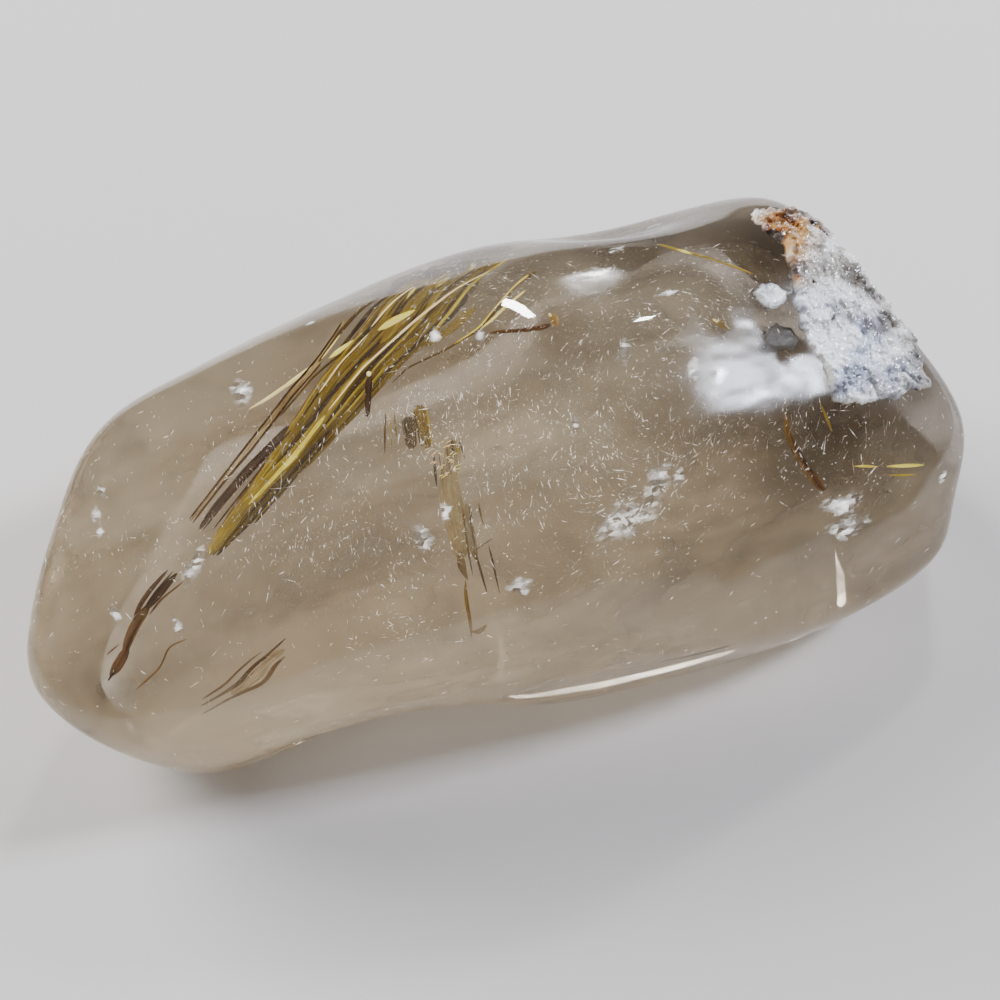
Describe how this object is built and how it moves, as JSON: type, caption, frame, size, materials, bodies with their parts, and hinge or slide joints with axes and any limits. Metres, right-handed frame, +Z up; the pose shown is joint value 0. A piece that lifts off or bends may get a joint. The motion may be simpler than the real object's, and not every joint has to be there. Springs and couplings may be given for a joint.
{
  "type": "rutilated quartz freeform",
  "caption": "Long rounded freeform of polished clear quartz with golden and brown rutile needles sealed inside, one rough natural face and a flat ground base to rest on.",
  "frame": {"origin": "under the middle of the stone, on the surface that it rests on", "axes": "+X along the stone's long axis towards its blunt end with the rough natural face, +Y towards the back, +Z up"},
  "size_m": [0.0912, 0.0434, 0.0324],
  "materials": {
    "quartz": "polished clear quartz with faint milky veils, one face left rough",
    "gold_rutile": "golden striated rutile, adamantine lustre",
    "brown_rutile": "brown striated rutile needles"
  },
  "bodies": {
    "root": {"quartz_front": "quartz", "quartz_back": "quartz", "rutile_sheaf": "gold_rutile", "rutile_needle_long": "brown_rutile", "rutile_needle_thick": "brown_rutile", "rutile_needle_thin": "brown_rutile", "rutile_rod_short": "brown_rutile", "rutile_tablet": "gold_rutile", "rutile_plate_faint": "gold_rutile", "rutile_column": "gold_rutile", "rutile_fork": "gold_rutile", "rutile_rod_knob": "brown_rutile", "rutile_tail": "brown_rutile", "rutile_spray_low": "brown_rutile", "rutile_thread_left": "brown_rutile", "rutile_rod_curved": "brown_rutile", "rutile_pin": "gold_rutile", "rutile_streaks": "gold_rutile", "rutile_thread_top": "gold_rutile", "rutile_needle_low": "brown_rutile", "rutile_grain": "gold_rutile"}
  },
  "joints": []
}
